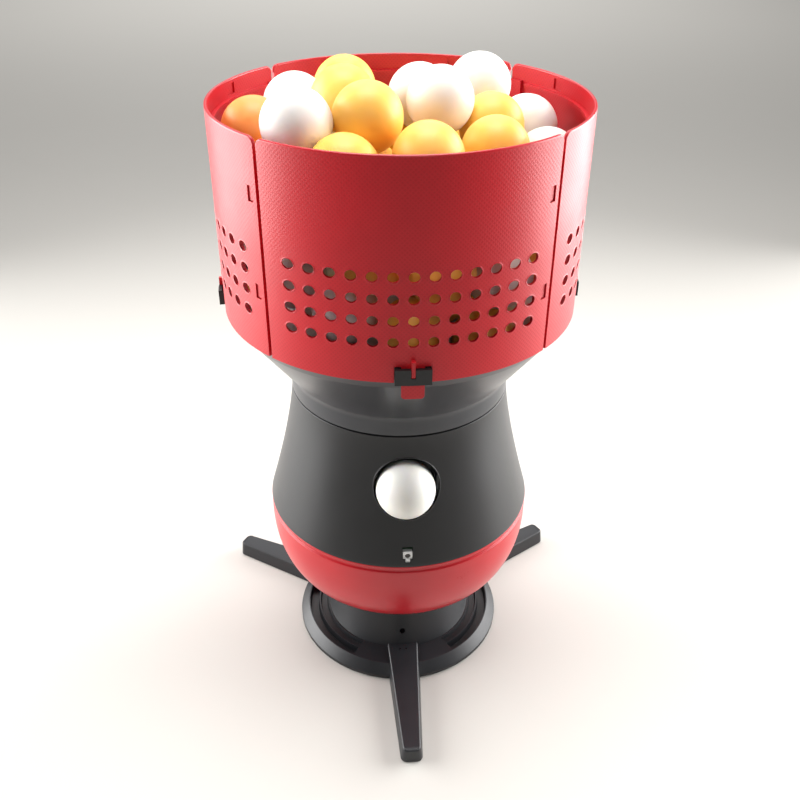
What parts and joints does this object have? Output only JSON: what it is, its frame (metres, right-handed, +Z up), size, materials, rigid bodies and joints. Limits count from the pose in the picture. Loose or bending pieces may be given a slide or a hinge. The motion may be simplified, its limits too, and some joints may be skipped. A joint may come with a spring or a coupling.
{
  "type": "table tennis ball robot",
  "caption": "Desktop table-tennis ball launcher: red vented hopper on a sweeping black and red head with a front ball outlet, on a round stand with splayed legs.",
  "frame": {"origin": "on the floor under the head's turning axis, on the underside of the base plate", "axes": "+Z up along the head's turning axis, -Y the way the balls are thrown at the middle of the sweep, +X to the right in a front view"},
  "size_m": [0.2742, 0.2735, 0.4201],
  "materials": {
    "black_shell": "satin moulded",
    "red_shell": "satin moulded",
    "red_panel": "satin moulded, finely textured outside",
    "grey_bowl": "satin moulded",
    "black_stand": "satin moulded",
    "black_trim": "satin moulded",
    "white_plastic": "moulded",
    "natural_acetal": "machined acetal",
    "dark_plastic": "moulded",
    "soft_rubber": "moulded",
    "tyre_rubber": "ground soft rubber",
    "steel": "ground",
    "zinc_steel": "zinc plated",
    "circuit_board": "solder mask",
    "lens": "polished"
  },
  "bodies": {
    "stand": {"base_stand": "black_stand", "base_plate": "black_trim", "base_screws": "zinc_steel", "pivot_washer": "natural_acetal", "sweep_gear": "natural_acetal", "pivot_screw": "zinc_steel", "leg_front": "black_stand", "leg_right": "black_stand", "leg_left": "black_stand", "leg_pad_front": "soft_rubber", "leg_pad_right": "soft_rubber", "leg_pad_left": "soft_rubber"},
    "head": {"lower_shell": "red_shell", "upper_shell": "black_shell", "sensor_bezel": "white_plastic", "sensor_lens": "lens", "sensor_board": "circuit_board", "rear_panel": "black_trim", "power_inlet": "black_trim", "switch_housing": "black_trim", "deck": "dark_plastic", "deck_screws": "zinc_steel", "control_board": "circuit_board", "sweep_bracket": "zinc_steel", "sweep_motor": "zinc_steel", "ball_chute": "white_plastic", "wheel_motor_left": "zinc_steel", "wheel_motor_right": "zinc_steel", "hopper_bowl": "grey_bowl", "feed_motor": "zinc_steel", "ball_guard": "dark_plastic", "keeper_front": "black_trim", "keeper_right": "black_trim", "keeper_back": "black_trim", "keeper_left": "black_trim"},
    "sweep_pinion": {"sweep_shaft": "steel", "sweep_pinion": "natural_acetal"},
    "left_wheel": {"wheel_shaft_left": "steel", "wheel_hub_left": "white_plastic", "wheel_tyre_left": "tyre_rubber"},
    "right_wheel": {"wheel_shaft_right": "steel", "wheel_hub_right": "white_plastic", "wheel_tyre_right": "tyre_rubber"},
    "feeder": {"feed_shaft": "steel", "feeder_disc": "dark_plastic"},
    "rocker": {"switch_rocker": "dark_plastic"},
    "hopper_wall": {"panel_front": "red_panel", "panel_right": "red_panel", "panel_back": "red_panel", "panel_left": "red_panel"}
  },
  "joints": [
    {"name": "head_sweep", "type": "hinge", "parent": "stand", "child": "head", "pos_m": [0, 0, 0.062], "axis": [0, 0, 1], "range_deg": [-25, 25]},
    {"name": "sweep_pinion_spin", "type": "hinge", "parent": "head", "child": "sweep_pinion", "pos_m": [0, 0.0301, 0.06945], "axis": [0, 0, 1], "range_deg": [-69, 69]},
    {"name": "left_wheel_spin", "type": "hinge", "parent": "head", "child": "left_wheel", "pos_m": [-0.0393, -0.036, 0.17415], "axis": [0, 0, 1], "continuous": true},
    {"name": "right_wheel_spin", "type": "hinge", "parent": "head", "child": "right_wheel", "pos_m": [0.0393, -0.036, 0.17415], "axis": [0, 0, 1], "continuous": true},
    {"name": "feeder_spin", "type": "hinge", "parent": "head", "child": "feeder", "pos_m": [0, 0, 0.23505], "axis": [0, 0, 1], "continuous": true},
    {"name": "power_switch", "type": "hinge", "parent": "head", "child": "rocker", "pos_m": [0.009, 0.0849, 0.09955], "axis": [0, 0, 1], "range_deg": [0, 16]},
    {"name": "hopper_wall_lift", "type": "slide", "parent": "head", "child": "hopper_wall", "axis": [0, 0, 1], "range_m": [0, 0.05]}
  ],
  "couplings": [
    {"joint": "sweep_pinion_spin", "follows": "head_sweep", "ratio": 2.75}
  ]
}
